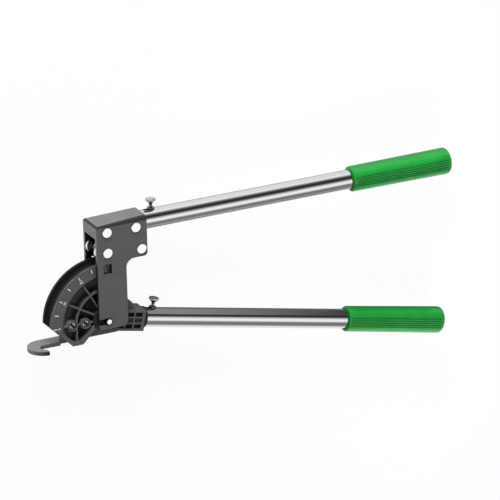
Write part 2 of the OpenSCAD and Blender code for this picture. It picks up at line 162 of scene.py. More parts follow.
def object_noise(tree, scale, detail=3.0, stretch=(1, 1, 1), turn=0.0):
    place = tree.nodes.new("ShaderNodeTexCoord").outputs["Object"]
    wires = {"Vector": place, "Scale": stretch, "Rotation": (0, 0, turn)}
    placed = add_node(tree, "ShaderNodeMapping", wires).outputs["Vector"]
    wires = {"Vector": placed, "Scale": scale, "Detail": detail}
    return add_node(tree, "ShaderNodeTexNoise", wires).outputs["Fac"]


def tint(tree, shader, factor, dark, light):
    ramp = add_node(tree, "ShaderNodeValToRGB", {"Fac": factor})
    for step, where, colour in zip(ramp.color_ramp.elements, TINT_STEPS, (dark, light)):
        step.position = where
        step.color = (*colour, 1)
    tree.links.new(ramp.outputs["Color"], shader.inputs["Base Color"])


def vary_roughness(tree, shader, factor, low, high):
    spread = add_node(tree, "ShaderNodeMapRange", {"Value": factor, "To Min": low, "To Max": high})
    tree.links.new(spread.outputs["Result"], shader.inputs["Roughness"])


def emboss(tree, shader, factor, strength, depth, edge=0.0):
    wires = {"Strength": strength, "Distance": depth, "Height": factor}
    if edge:
        rounded = add_node(tree, "ShaderNodeBevel", {"Radius": edge}, samples=BEVEL_SAMPLES)
        wires["Normal"] = rounded.outputs["Normal"]
    bump = add_node(tree, "ShaderNodeBump", wires)
    tree.links.new(bump.outputs["Normal"], shader.inputs["Normal"])


# %% [markdown]
# ## Dark finishes
# The casting, the former, the folded frame and the hook have a dark powder paint with a fine pebble grain.
# One function makes them all, because they differ only in how grey they are and how smooth.
# A slow noise changes the grey a little from place to place, and a fine one makes the grain.

# %% Powder paint
PAINT_CLOUDS, PAINT_EDGE, PAINT_GRAIN = 45.0, 0.7 * MM, 0.06 * MM
SMOOTHER, ROUGHER = 0.05, 0.07


def powder_paint(name, dark, light, roughness, grain):
    mat, tree, shader = start_finish(name)
    slow = object_noise(tree, PAINT_CLOUDS)
    fine = object_noise(tree, grain, detail=2.0)
    tint(tree, shader, slow, dark, light)
    vary_roughness(tree, shader, slow, roughness - SMOOTHER, roughness + ROUGHER)
    emboss(tree, shader, fine, GRAIN_STRENGTH, PAINT_GRAIN, edge=PAINT_EDGE)
    return mat


casting_paint = powder_paint("casting_paint", (0.052, 0.052, 0.054), (0.066, 0.066, 0.068), 0.48, 1300.0)
frame_paint = powder_paint("frame_paint", (0.064, 0.064, 0.066), (0.076, 0.076, 0.078), 0.42, 1500.0)
hook_paint = powder_paint("hook_paint", (0.070, 0.070, 0.072), (0.084, 0.084, 0.086), 0.42, 1500.0)
former_paint = powder_paint("former_paint", (0.060, 0.060, 0.062), (0.072, 0.072, 0.074), 0.46, 1300.0)
print("dark finishes", casting_paint.name, frame_paint.name, hook_paint.name, former_paint.name)

# %% [markdown]
# ## Places with another tone
# Some places get another tone: painted shade in the groove for the tube, a pocket, the inside of a fold, and
# painted light on one sloping wall.
# Masks made from Object coordinates find them by distance, by height or by the way a face looks.
# One function mixes the other tone in, and takes the sheen away in the same places.

# %% Helpers for masks
SHEEN_LOSS = 0.8


def object_places(tree):
    coord = tree.nodes.new("ShaderNodeTexCoord")
    x, y, z = add_node(tree, "ShaderNodeSeparateXYZ", {0: coord.outputs["Object"]}).outputs
    facing = add_node(tree, "ShaderNodeSeparateXYZ", {0: coord.outputs["Normal"]}).outputs
    return SimpleNamespace(x=x, y=y, height=calc(tree, "SUBTRACT", z, mid_z), facing=facing)


def flat_length(tree, x, y):
    squares = calc(tree, "ADD", calc(tree, "MULTIPLY", x, x), calc(tree, "MULTIPLY", y, y))
    return calc(tree, "SQRT", squares)


def along_lower(tree, x, y):
    cos, sin = math.cos(lower_turn), math.sin(lower_turn)
    along = calc(tree, "ADD", calc(tree, "MULTIPLY", x, cos), calc(tree, "MULTIPLY", y, sin))
    across = calc(tree, "SUBTRACT", calc(tree, "MULTIPLY", y, cos), calc(tree, "MULTIPLY", x, sin))
    return along, across


def fade(tree, value, none, full):
    wires = {"Value": value, "From Min": none, "From Max": full}
    return add_node(tree, "ShaderNodeMapRange", wires).outputs["Result"]


def both(tree, *masks):
    total = masks[0]
    for mask in masks[1:]:
        total = calc(tree, "MULTIPLY", total, mask)
    return total


def band(tree, value, none_low, full_low, full_high, none_high):
    return both(tree, fade(tree, value, none_low, full_low), fade(tree, value, none_high, full_high))


def retone(mat, mask, tone):
    tree = mat.node_tree
    shader = tree.nodes["Principled BSDF"]
    coat = shader.inputs["Base Color"].links[0].from_socket
    colour = tone if isinstance(tone, tuple) else (tone, tone, tone)
    mixed = add_node(tree, "ShaderNodeMix", {0: mask, 6: coat, 7: (*colour, 1)}, data_type="RGBA")
    tree.links.new(mixed.outputs[2], shader.inputs["Base Color"])
    sheen = shader.inputs["Specular IOR Level"]
    old = sheen.links[0].from_socket if sheen.is_linked else sheen.default_value
    kept = calc(tree, "SUBTRACT", 1.0, calc(tree, "MULTIPLY", mask, SHEEN_LOSS))
    tree.links.new(calc(tree, "MULTIPLY", kept, old), sheen)


# %% [markdown]
# ## Former
# Painted shade turns the groove for the tube almost black, and the deep pockets near the pivot and the hub
# itself.
# The sloping wall just inside the scale gets a lighter tone instead, painted light where it catches more
# light.
# Each pair of numbers says where a mask begins and where it is full.

# %% Tones of the former
RIM_R, GROOVE_IN, FACE_SKIN = 76.0 * MM, 67.4 * MM, 0.2 * MM
POCKET_HEIGHT, POCKET_REACH = (10.6 * MM, 4 * MM), (54 * MM, 42 * MM)
HUB_REACH = (18.6 * MM, 17.8 * MM)
SLOPE_HEIGHT, SLOPE_REACH, SLOPE_OUT = (10.9 * MM, 10.5 * MM), (47 * MM, 51 * MM), 59.6 * MM
POCKET_SHADE_TONE, SLOPE_LIGHT_TONE, GROOVE_SHADE_TONE = 0.018, 0.13, 0.005
tree = former_paint.node_tree
op = partial(calc, tree)
spot = object_places(tree)
away = flat_length(tree, spot.x, spot.y)
# Painted shade: the deep pockets and the hub turn almost black.
deep = both(tree, fade(tree, spot.height, *POCKET_HEIGHT), fade(tree, away, *POCKET_REACH))
retone(former_paint, op("MAXIMUM", deep, fade(tree, away, *HUB_REACH)), POCKET_SHADE_TONE)
# Painted light: the sloping wall inside the scale turns lighter.
slope_light = both(tree, fade(tree, away, *SLOPE_REACH), op("LESS_THAN", away, SLOPE_OUT),
             fade(tree, spot.height, *SLOPE_HEIGHT), op("GREATER_THAN", spot.height, 0.0))
retone(former_paint, slope_light, SLOPE_LIGHT_TONE)
# Painted shade: the groove between the faces turns almost black.
between = op("LESS_THAN", op("ABSOLUTE", spot.height), former_face - mid_z - FACE_SKIN)
retone(former_paint, both(tree, between, op("GREATER_THAN", away, GROOVE_IN)), GROOVE_SHADE_TONE)
print("former paint nodes", len(tree.nodes))

# %% [markdown]
# ## Folded frame
# Painted shade darkens the frame inside and on its front edge. Its folds get painted shade too: there a face
# looks two ways at once, so the product of two parts of its normal is large.

# %% Tones of the frame
SHEET_IN, FRONT_HEIGHT = 4.4 * MM, (80 * MM, 74 * MM)
NEAR_FOLD, FRONT_FOLD, FRONT_FACE = (0.08, 0.36), (-0.20, -0.45), (-0.6, -0.8)
INSIDE_SHADE_TONE, FOLD_SHADE_TONE, EDGE_SHADE_TONE = 0.008, 0.020, 0.010
tree = frame_paint.node_tree
op = partial(calc, tree)
spot = object_places(tree)
look_x, look_y, look_z = spot.facing
# Painted shade inside the frame, in its folds and on its front edge.
inside = op("LESS_THAN", op("ABSOLUTE", spot.height), plate_half - SHEET_IN)
not_top, not_front = op("LESS_THAN", look_y, 0.5), op("GREATER_THAN", look_x, -0.5)
retone(frame_paint, both(tree, inside, not_top, not_front), INSIDE_SHADE_TONE)
near_fold = fade(tree, op("MULTIPLY", look_y, look_z), *NEAR_FOLD)
front_fold = fade(tree, op("MULTIPLY", look_y, look_x), *FRONT_FOLD)
retone(frame_paint, op("MAXIMUM", near_fold, front_fold), FOLD_SHADE_TONE)
front_edge = both(tree, fade(tree, look_x, *FRONT_FACE), fade(tree, spot.y, *FRONT_HEIGHT))
retone(frame_paint, front_edge, EDGE_SHADE_TONE)
print("frame paint nodes", len(tree.nodes))

# %% [markdown]
# ## Casting and hook
# Painted shade darkens the casting round the hub and in the pockets of its handle socket. The pockets run
# along the lower handle, so their place is measured along and across that handle. Painted shade also darkens
# the hook's near face to the right.

# %% Tones of the casting and the hook
SOCKET_FROM, SOCKET_TO, SOCKET_HALF, SOCKET_HEIGHT = 20 * MM, 50 * MM, 12 * MM, (14.7 * MM, 12 * MM)
CASTING_HUB_R, SOCKET_SHADE_TONE, HUB_SHADE_TONE = 12.1 * MM, 0.006, 0.010
tree = casting_paint.node_tree
op = partial(calc, tree)
spot = object_places(tree)
along, across = along_lower(tree, spot.x, spot.y)
# Painted shade in the pockets of the socket and round the hub.
in_rows = op("LESS_THAN", op("ABSOLUTE", across), SOCKET_HALF)
in_columns = both(tree, op("GREATER_THAN", along, SOCKET_FROM), op("LESS_THAN", along, SOCKET_TO))
sunk = fade(tree, op("ABSOLUTE", spot.height), *SOCKET_HEIGHT)
retone(casting_paint, both(tree, sunk, in_rows, in_columns), SOCKET_SHADE_TONE)
retone(casting_paint, op("LESS_THAN", flat_length(tree, spot.x, spot.y), CASTING_HUB_R), HUB_SHADE_TONE)
print("casting paint nodes", len(tree.nodes))

HOOK_FACE, HOOK_REACH, HOOK_HEIGHT = (0.2, 0.9), (-98 * MM, -84 * MM), (4 * MM, 12 * MM)
HOOK_SHADE_SHARE, HOOK_SHADE_TONE = 0.8, 0.012
tree = hook_paint.node_tree
spot = object_places(tree)
# Painted shade on the hook's near face, darker to the right.
near_edge = both(tree, fade(tree, spot.facing[2], *HOOK_FACE), fade(tree, spot.x, *HOOK_REACH),
                 fade(tree, spot.height, *HOOK_HEIGHT))
retone(hook_paint, calc(tree, "MULTIPLY", near_edge, HOOK_SHADE_SHARE), HOOK_SHADE_TONE)
print("hook paint nodes", len(tree.nodes))

# %% [markdown]
# ## Bare metal
# The handle tubes are ground and polished steel, so fine scratches run along them.
# Stretching a noise along one axis draws such scratches. Pins and roller are turned steel, the bush is brass.
# The nuts, washers and thumb screws are zinc plated, which is duller and a little mottled.

# %% Steel, zinc and brass
SCRATCH_DEPTH = 0.02 * MM


def worked_metal(name, dark, light, low, high, scale, stretch, turn=0.0, scratch=0.08):
    mat, tree, shader = start_finish(name, metallic=1.0)
    lines = object_noise(tree, scale, detail=4.0, stretch=stretch, turn=turn)
    tint(tree, shader, lines, dark, light)
    vary_roughness(tree, shader, lines, low, high)
    emboss(tree, shader, lines, scratch, SCRATCH_DEPTH)
    return mat


TUBE_GREY = ((0.53, 0.53, 0.54), (0.56, 0.56, 0.57))
tube_steel = {
    side: worked_metal(f"tube_steel_{side}", *TUBE_GREY, 0.10, 0.12, 60.0, (0.4, 26, 26), turn, scratch=0.004)
    for side, turn in (("upper", 0.0), ("lower", -lower_turn))
}
pin_steel = worked_metal("pin_steel", (0.82, 0.82, 0.83), (0.90, 0.90, 0.91), 0.25, 0.36, 700.0, (1, 1, 0.2))
roller_steel = worked_metal(
    "roller_steel", (0.66, 0.66, 0.67), (0.76, 0.76, 0.77), 0.14, 0.22, 400.0, (0.3, 0.3, 6))
spigot_steel = worked_metal(
    "spigot_steel", (0.38, 0.38, 0.39), (0.48, 0.48, 0.49), 0.30, 0.42, 90.0, (20, 1, 1))
zinc = worked_metal("zinc_plate", (0.34, 0.34, 0.35), (0.46, 0.46, 0.47), 0.16, 0.26, 260.0, (1, 1, 1))
dark_zinc = worked_metal("dark_zinc", (0.10, 0.10, 0.105), (0.16, 0.16, 0.165), 0.16, 0.26, 260.0, (1, 1, 1))
brass = worked_metal("bush_brass", (0.55, 0.40, 0.16), (0.68, 0.50, 0.22), 0.28, 0.38, 300.0, (1, 1, 4))
print("metals", tube_steel["upper"].name, pin_steel.name, roller_steel.name, zinc.name)

# %% [markdown]
# ## Roller and pins
# The roller's groove gets painted shade, so it is dark between the bright lands at both ends. Pins shine on
# their end faces only, so a mask on the normal paints shade on their sides. The pivot pin also has a dark
# ring near the edge of its end.

# %% Painted shade on the roller and the pins
LAND, LAND_SOFT, GROOVE_REACH = 3.6 * MM, 4.4 * MM, (7.2 * MM, 8.2 * MM)
PIN_SIDE, RING_REACH, RING_OUT = (0.5, 0.3), (2.9 * MM, 3.3 * MM), 6 * MM
ROLLER_SHADE_TONE, PIN_SHADE_TONE, RING_TONE = 0.02, 0.015, 0.03
roller_low, roller_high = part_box("front_roller")
roller_mid = (roller_low + roller_high) / 2
roller_half = roller_high.z - mid_z
tree = roller_steel.node_tree
op = partial(calc, tree)
spot = object_places(tree)
# Painted shade in the roller's groove, between the lands.
away = flat_length(tree, op("SUBTRACT", spot.x, roller_mid.x), op("SUBTRACT", spot.y, roller_mid.y))
between = fade(tree, op("ABSOLUTE", spot.height), roller_half - LAND, roller_half - LAND_SOFT)
retone(roller_steel, both(tree, fade(tree, away, *GROOVE_REACH), between), ROLLER_SHADE_TONE)

tree = pin_steel.node_tree
op = partial(calc, tree)
spot = object_places(tree)
# Painted shade on the sides of the pins.
retone(pin_steel, fade(tree, op("ABSOLUTE", spot.facing[2]), *PIN_SIDE), PIN_SHADE_TONE)
away = flat_length(tree, spot.x, spot.y)
ring = both(tree, fade(tree, away, *RING_REACH), op("LESS_THAN", away, RING_OUT))
retone(pin_steel, ring, RING_TONE)
print("roller half width", round(roller_half / MM, 2))

# %% [markdown]
# ## Plastics
# The grips are a soft green vinyl with a faint sheen. The lower collar and the tube plugs are black plastic.
# The scale is white paint in thin marks, so it is matt and slightly uneven.

# %% Green vinyl, black plastic and scale paint
MOULD_CLOUDS = 60.0


def moulded(name, dark, light, low, high, grain, depth, specular=0.5):
    mat, tree, shader = start_finish(name, specular=specular)
    slow = object_noise(tree, MOULD_CLOUDS)
    fine = object_noise(tree, grain, detail=2.0)
    tint(tree, shader, slow, dark, light)
    vary_roughness(tree, shader, fine, low, high)
    emboss(tree, shader, fine, GRAIN_STRENGTH, depth)
    return mat


grip_vinyl = moulded("grip_vinyl", (0.007, 0.220, 0.028), (0.010, 0.260, 0.035), 0.29, 0.38, 900.0, 0.05 * MM)
black_plastic = moulded("black_plastic", (0.012, 0.012, 0.013), (0.020, 0.020, 0.021), 0.38, 0.50,
                        1100.0, 0.04 * MM, specular=0.15)
scale_paint = moulded("scale_paint", (0.74, 0.74, 0.73), (0.86, 0.86, 0.85), 0.55, 0.65, 1500.0, 0.03 * MM)
# A light paint for the bead on the former's rim: a painted highlight.
rim_highlight_paint = moulded("rim_highlight_paint", (0.13, 0.13, 0.13), (0.20, 0.20, 0.20), 0.35, 0.45, 1500.0, 0.02 * MM)
print("plastics", grip_vinyl.name, black_plastic.name, scale_paint.name, rim_highlight_paint.name)

# %% [markdown]
# ## Painted shade on the grips
# A mesh can carry numbers of its own. The tree that later presses the ribs also stores how much painted shade
# each place gets, in an attribute called valley. The vinyl reads it here and turns dark green where it is
# high.

# %% Painted shade between the ribs
VALLEY_SHADE_SHARE, SHADE_GREEN = 0.8, (0.003, 0.070, 0.010)
tree = grip_vinyl.node_tree
# The attribute holds painted shade, which turns the vinyl dark green.
grip_shade_mask = add_node(tree, "ShaderNodeAttribute", {}, attribute_name="valley").outputs["Fac"]
retone(grip_vinyl, calc(tree, "MULTIPLY", grip_shade_mask, VALLEY_SHADE_SHARE), SHADE_GREEN)
print("grip nodes", len(tree.nodes))

# %% [markdown]
# ## Finishes on the CAD pieces
# A CAD piece keeps its mesh and only swaps its material. A table from piece to finish is the shortest way.

# %% Give every CAD piece its finish
FINISHES = {
    "base_arm": casting_paint, "former": former_paint, "tube_hook": hook_paint, "lever_frame": frame_paint,
    "former_bolts": dark_zinc, "former_washers": dark_zinc, "former_nuts": dark_zinc,
    "hook_screws": dark_zinc, "lower_screw": zinc, "upper_screw": zinc,
    "pivot_pin": pin_steel, "handle_pins": pin_steel, "roller_pin": pin_steel, "back_pin": pin_steel,
    "front_roller": roller_steel, "roller_bush": brass,
    "lower_spigot": spigot_steel, "upper_spigot": spigot_steel,
    "lower_collar": black_plastic, "upper_collar": tube_steel["upper"],
    "lower_plug": black_plastic, "upper_plug": black_plastic,
    "lower_tube": tube_steel["lower"], "upper_tube": tube_steel["upper"],
    "lower_grip": grip_vinyl, "upper_grip": grip_vinyl,
}
for name, finish in FINISHES.items():
    mesh = nodes[name].data
    mesh.materials.clear()
    mesh.materials.append(finish)
print("finished", len(FINISHES), "of", len(nodes))

# %% [markdown]
# ## Turned shapes
# Pins, grips and screws are round, so they are drawn as half a profile and spun about an axis.
# The helper takes points of distance along the axis and radius, and a matrix that puts the axis in place.
# A radius of zero closes the end in a single point, so the result is a sealed skin with its faces outwards.

# %% Helpers for meshes
def spin_profile(bm, profile, place, steps):
    rings = []
    for along, radius in profile:
        count = steps if radius > 0 else 1
        turns = [math.tau * i / count for i in range(count)]
        points = [Vector((along, radius * math.cos(t), radius * math.sin(t))) for t in turns]
        rings.append([bm.verts.new(place @ point) for point in points])
    for first, second in zip(rings, rings[1:]):
        for i in range(steps):
            corners = [first[i % len(first)], first[(i + 1) % len(first)]]
            corners += [second[(i + 1) % len(second)], second[i % len(second)]]
            bm.faces.new(list(dict.fromkeys(corners)))


def make_piece(name, bm, finish, crease=35.0):
    bmesh.ops.recalc_face_normals(bm, faces=bm.faces)
    mesh = bpy.data.meshes.new(name)
    bm.to_mesh(mesh)
    bm.free()
    piece = bpy.data.objects.new(name, mesh)
    bpy.context.scene.collection.objects.link(piece)
    mesh.materials.append(finish)
    mesh.shade_smooth()
    mesh.set_sharp_from_angle(angle=math.radians(crease))
    return piece


def settle(piece, body, slot, *replaced):
    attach(piece, body)
    if replaced:
        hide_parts(*replaced)
    print(piece.name, "on", body, "faces", len(piece.data.polygons))


# %% [markdown]
# ## Pins with turned heads
# The four cross pins show bright round heads on both plates. On the real tool each head has a small chamfer
# that catches the light. The CAD pins are plain steps, so spun pins take their place.
# Each pin is spun about its own axis, which stands upright in this frame.

# %% Spin the cross pins and the pivot pin
UPRIGHT = Matrix.Rotation(-math.pi / 2, 4, "Y")
PIN_STEPS, PIN_CHAMFER, SHANK_R = 48, 0.45 * MM, 4 * MM


def half_pin(shank_r, head_r, tip):
    side = [(plate_half, shank_r)] if shank_r < head_r else []
    side += [(plate_half, head_r), (tip - PIN_CHAMFER, head_r), (tip, head_r - PIN_CHAMFER), (tip, 0)]
    return side


def spin_pin(bm, x, y, *sizes):
    top = half_pin(*sizes)
    whole = [(-along, radius) for along, radius in reversed(top)] + top
    spin_profile(bm, whole, Matrix.Translation((x, y, mid_z)) @ UPRIGHT, PIN_STEPS)


for name in ("handle_pins", "roller_pin", "back_pin"):
    low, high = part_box(name)
    head_r = (high.y - low.y) / 2
    bm = bmesh.new()
    for x in sorted({round(low.x + head_r, 6), round(high.x - head_r, 6)}):
        spin_pin(bm, x, (low.y + high.y) / 2, SHANK_R, head_r, high.z - mid_z)
    settle(make_piece(f"turned_{name}", bm, pin_steel), "lever", "pin_steel", name)

bm = bmesh.new()
pivot_r = (pin_high.x - pin_low.x) / 2
spin_pin(bm, 0, 0, pivot_r, pivot_r, pin_high.z - mid_z)
settle(make_piece("turned_pivot_pin", bm, pin_steel), "base", "pin_steel", "pivot_pin")

# %% [markdown]
# ## Former bolts
# The bolt heads sit deep in their bosses. Each is spun as a round head with a rolled rim, a thin groove and a
# flat middle, above the plain shank of the CAD bolt. One mesh can have several materials: the rim keeps
# bright steel on two sides as a painted highlight, the groove is black as painted shade and the rest has the
# grey paint of the hook.

# %% Spin the former bolts
HEAD_HIGH, BOLT_SHANK_R = 3.5 * MM, 2.5 * MM
RIM_IN, MIDDLE_IN, GROOVE_DEEP, MIDDLE_DEEP = 1.2 * MM, 1.5 * MM, 1.5 * MM, 0.4 * MM
HIGHLIGHT_SHARE = 0.8
PAINTED, GROOVE_SHADE_INDEX = 1, 2
bolt_low, bolt_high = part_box("former_bolts")
bolt_r = (bolt_high.y - bolt_low.y) / 2
bolt_corner = bolt_r / math.cos(math.pi / 6)
bolt_xs = [bolt_low.x + bolt_corner, bolt_high.x - bolt_corner]
bolt_top, bolt_foot = bolt_high.z - mid_z, bolt_low.z - mid_z
under = bolt_top - HEAD_HIGH
shank = [(bolt_foot, 0), (bolt_foot, BOLT_SHANK_R), (under, BOLT_SHANK_R), (under, bolt_r)]
rim = [(bolt_top - 1.2 * MM, bolt_r), (bolt_top - 0.3 * MM, bolt_r - 0.2 * MM),
       (bolt_top, bolt_r - 0.6 * MM), (bolt_top, bolt_r - RIM_IN)]
middle = [(bolt_top - GROOVE_DEEP, bolt_r - RIM_IN - 0.1 * MM), (bolt_top - GROOVE_DEEP, bolt_r - MIDDLE_IN),
          (bolt_top - MIDDLE_DEEP, bolt_r - MIDDLE_IN - 0.1 * MM), (bolt_top - MIDDLE_DEEP, 0)]
bm = bmesh.new()
for x in bolt_xs:
    spin_profile(bm, shank + rim + middle, Matrix.Translation((x, 0, mid_z)) @ UPRIGHT, PIN_STEPS)
bolts = make_piece("rolled_bolts", bm, pin_steel, crease=50.0)
for finish in (hook_paint, black_plastic):
    bolts.data.materials.append(finish)
# Bright steel stays on two sides of the rim only, as a painted highlight, and the black groove is painted
# shade.
for face in bolts.data.polygons:
    if face.center.z < mid_z + under + 0.1 * MM:
        continue
    off_x = min((face.center.x - x for x in bolt_xs), key=abs)
    off_y = face.center.y
    away = math.hypot(off_x, off_y)
    if bolt_r - MIDDLE_IN < away < bolt_r - RIM_IN:
        face.material_index = GROOVE_SHADE_INDEX
    elif away < bolt_r - RIM_IN or abs(off_x + off_y) < HIGHLIGHT_SHARE * away:
        face.material_index = PAINTED
settle(bolts, "base", "bolt_steel", "former_bolts")

# %% [markdown]
# ## Geometry Nodes helpers
# Ribs, notches and scale marks all repeat, so they are made by trees of Geometry Nodes with named inputs.
# A helper sets the inputs by their identifiers, evaluates the tree once and keeps the result as a plain mesh.

# %% Helpers for node trees
def new_tree(name, inputs):
    tree = bpy.data.node_groups.new(name, "GeometryNodeTree")
    tree.interface.new_socket("Geometry", in_out="INPUT", socket_type="NodeSocketGeometry")
    for label, kind in inputs:
        tree.interface.new_socket(label, in_out="INPUT", socket_type=f"NodeSocket{kind}")
    tree.interface.new_socket("Geometry", in_out="OUTPUT", socket_type="NodeSocketGeometry")
    return tree, tree.nodes.new("NodeGroupInput"), tree.nodes.new("NodeGroupOutput")


def close_tree(tree, geometry, group_in, group_out):
    real = add_node(tree, "GeometryNodeRealizeInstances", {"Geometry": geometry})
    painted = add_node(tree, "GeometryNodeSetMaterial",
                       {"Geometry": real.outputs[0], "Material": group_in.outputs["Material"]})
    tree.links.new(painted.outputs[0], group_out.inputs["Geometry"])


def bake_tree(piece, tree, values):
    modifier = piece.modifiers.new("shape", "NODES")
    modifier.node_group = tree
    for item in tree.interface.items_tree:
        if item.in_out == "INPUT" and item.name in values:
            modifier[item.identifier] = values[item.name]
    depsgraph = bpy.context.evaluated_depsgraph_get()
    mesh = bpy.data.meshes.new_from_object(piece.evaluated_get(depsgraph))
    piece.modifiers.remove(modifier)
    piece.data = mesh
    return piece


def empty_piece(name):
    piece = bpy.data.objects.new(name, bpy.data.meshes.new(name))
    bpy.context.scene.collection.objects.link(piece)
    return piece


# %% [markdown]
# ## Tree for ribs
# The tree presses a groove between every two ribs of a spun body: the depth follows the angle round the axis,
# and fades out near both ends, as in a moulded sleeve. Ribs are deep on the two broad sides of a grip and
# shallow along its top and underside, by the share called Smooth.

# %% Press the grooves
SIDES_REACH, VALLEY_POWER = (0.50, 0.42), 1.5
rib_tree, rib_in, rib_out = new_tree("grip_ribs", [
    ("Ribs", "Int"), ("Depth", "Float"), ("First", "Float"), ("Last", "Float"), ("Fade", "Float"),
    ("Inner", "Float"), ("Smooth", "Float"), ("Material", "Material")])
asked = rib_in.outputs
op = partial(calc, rib_tree)
position = rib_tree.nodes.new("GeometryNodeInputPosition").outputs[0]
along, local_y, local_z = add_node(rib_tree, "ShaderNodeSeparateXYZ", {0: position}).outputs
turn = op("ARCTAN2", local_z, local_y)
upward, sideways = op("COSINE", turn), op("SINE", turn)
sides = fade(rib_tree, op("ABSOLUTE", upward), *SIDES_REACH)
wave = op("ABSOLUTE", op("SINE", op("MULTIPLY", turn, op("MULTIPLY", asked["Ribs"], 0.5))))
ribbed = op("SUBTRACT", 1.0, op("MULTIPLY", asked["Smooth"], op("SUBTRACT", 1.0, sides)))
rise = op("DIVIDE", op("SUBTRACT", along, asked["First"]), asked["Fade"])
fall = op("DIVIDE", op("SUBTRACT", asked["Last"], along), asked["Fade"])
gate = add_node(rib_tree, "ShaderNodeClamp", {0: op("MINIMUM", rise, fall)}).outputs[0]
valley = both(rib_tree, op("POWER", op("SUBTRACT", 1.0, wave), VALLEY_POWER), ribbed, gate)
outer = op("GREATER_THAN", flat_length(rib_tree, local_y, local_z), asked["Inner"])
press = both(rib_tree, valley, outer, asked["Depth"])
radial = add_node(rib_tree, "ShaderNodeCombineXYZ", {1: local_y, 2: local_z}).outputs[0]
outward = add_node(rib_tree, "ShaderNodeVectorMath", {0: radial}, operation="NORMALIZE").outputs[0]
pushed = add_node(rib_tree, "ShaderNodeVectorMath", {0: outward, "Scale": op("MULTIPLY", press, -1.0)},
                  operation="SCALE").outputs[0]
grooved = add_node(rib_tree, "GeometryNodeSetPosition", {"Geometry": asked["Geometry"], "Offset": pushed})
print("nodes that press the ribs", len(rib_tree.nodes))

# %% [markdown]
# ## Shade stored with the ribs
# The same tree stores the attribute that the vinyl reads. Besides the valleys it is raised a little on the
# ribbed sides and along the top edge, and fully in the mouth, where the tube goes in.

# %% Store the shade
SIDES_SHADE, TOP_SHADE, MOUTH_SHADE = 0.3, 0.75, 1.25
TOP_SIDEWAYS, TOP_UPWARD = (0.62, 0.1), (0.5, 0.7)
MOUTH_REACH, MOUTH_SIDEWAYS = (0.0, 1.4 * MM), (-0.1, 0.35)
top_edge = both(rib_tree, fade(rib_tree, sideways, *TOP_SIDEWAYS), fade(rib_tree, upward, *TOP_UPWARD))
# Painted shade on the ribbed sides and along the top edge.
sides_and_top_shade = op("ADD", op("MULTIPLY", sides, SIDES_SHADE), op("MULTIPLY", top_edge, TOP_SHADE))
before = op("SUBTRACT", asked["First"], along)
mouth = both(rib_tree, fade(rib_tree, before, *MOUTH_REACH), fade(rib_tree, sideways, *MOUTH_SIDEWAYS))
shade = op("MAXIMUM", op("ADD", valley, sides_and_top_shade), op("MULTIPLY", mouth, MOUTH_SHADE))
stored = add_node(rib_tree, "GeometryNodeStoreNamedAttribute",
                  {"Geometry": grooved.outputs[0], "Name": "valley", "Value": shade},
                  data_type="FLOAT", domain="POINT")
close_tree(rib_tree, stored.outputs[0], rib_in, rib_out)
print("nodes in the rib tree", len(rib_tree.nodes))

# %% [markdown]
# ## Ribbed grips
# Each green sleeve has a lead-in chamfer at the tube, a slight taper and a rounded outer end.
# The smooth body is spun first, with enough steps for each rib. Then the tree presses the ribs into it,
# and last the mesh is moved to its handle.

# %% Spin and groove the two grips
GRIP_LEAD, GRIP_CAP, GRIP_TAPER = 3.0 * MM, 5.0 * MM, 0.75 * MM
GRIP_RIBS, STEPS_PER_RIB, GRIP_SMOOTH = 36, 8, 0.75
RIB_DEPTH, RIB_FADE, GRIP_SKIN = 0.8 * MM, 1.5 * MM, 1.0 * MM
STATIONS = (0.01, 0.02, 0.035, 0.05, 0.2, 0.4, 0.6, 0.8, 0.95, 0.965, 0.98, 0.99)
grip_low, grip_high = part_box("upper_grip")
grip_start, grip_end = grip_low.x, grip_high.x
run_start, run_end = grip_start + GRIP_LEAD, grip_end - GRIP_CAP
grip_r1 = (grip_high.y - grip_low.y) / 2
grip_r0 = grip_r1 - GRIP_TAPER


def grip_profile():
    bore = [(tube_end, 0), (tube_end, tube_r), (grip_start, tube_r)]
    lead_r = grip_r0 - GRIP_LEAD
    lead = [(grip_start, lead_r), (grip_start + 0.4 * MM, lead_r + 0.7 * MM),
            (run_start - 0.6 * MM, grip_r0 - 0.5 * MM), (run_start, grip_r0)]
    run = [(run_start + s * (run_end - run_start), grip_r0 + s * GRIP_TAPER) for s in STATIONS]
    bends = [math.radians(15 * i) for i in range(7)]
    cap = [(run_end + GRIP_CAP * math.sin(b), grip_r1 - GRIP_CAP + GRIP_CAP * math.cos(b)) for b in bends]
    return bore + lead + run + cap + [(grip_end, 0)]


for side, place in HANDLES.items():
    bm = bmesh.new()
    spin_profile(bm, grip_profile(), Matrix.Identity(4), GRIP_RIBS * STEPS_PER_RIB)
    grip = make_piece(f"ribbed_grip_{side}", bm, grip_vinyl)
    bake_tree(grip, rib_tree, {"Ribs": GRIP_RIBS, "Depth": RIB_DEPTH, "First": run_start, "Last": run_end,
                               "Fade": RIB_FADE, "Inner": tube_r + GRIP_SKIN, "Smooth": GRIP_SMOOTH,
                               "Material": grip_vinyl})
    grip.data.transform(place)
    settle(grip, f"{side}_handle", "grip_green", f"{side}_grip")

# %% [markdown]
# ## Thumb screws
# Each handle is locked by a small thumb screw with a flange, a thin neck and a flaring head. The tree that
# grooved the grips also cuts the fine notches round the head, because only its numbers differ.
# The screw is drawn along X and then turned to stand on the tube. Its lower part and the faces turned down
# towards the tube take a darker zinc, as painted shade under the head.

